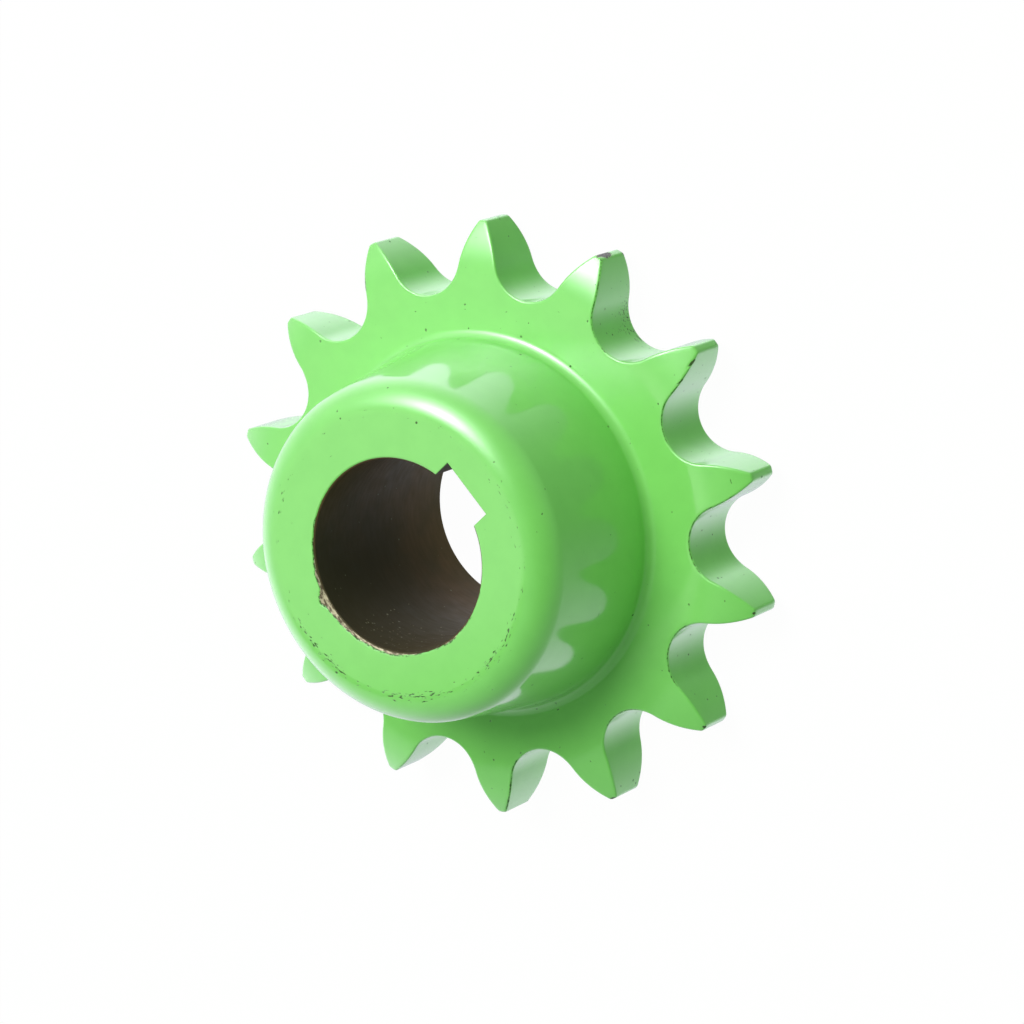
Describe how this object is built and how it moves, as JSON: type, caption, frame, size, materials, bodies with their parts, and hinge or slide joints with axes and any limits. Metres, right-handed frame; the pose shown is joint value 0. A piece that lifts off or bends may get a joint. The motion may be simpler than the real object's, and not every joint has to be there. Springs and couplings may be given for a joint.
{
  "type": "roller chain sprocket",
  "caption": "Roller-chain sprocket in glossy green paint: a toothed plate with a drafted hub on one side, and a bare keyed bore right through.",
  "frame": {"origin": "on the bore axis, in the flat back face of the toothed plate", "axes": "+Z along the bore from the back of the plate towards the face of the hub, +X through the middle of the keyway"},
  "size_m": [0.1264, 0.125, 0.0492],
  "materials": {
    "green_paint": "gloss"
  },
  "bodies": {
    "root": {"sprocket": "green_paint"}
  },
  "joints": []
}
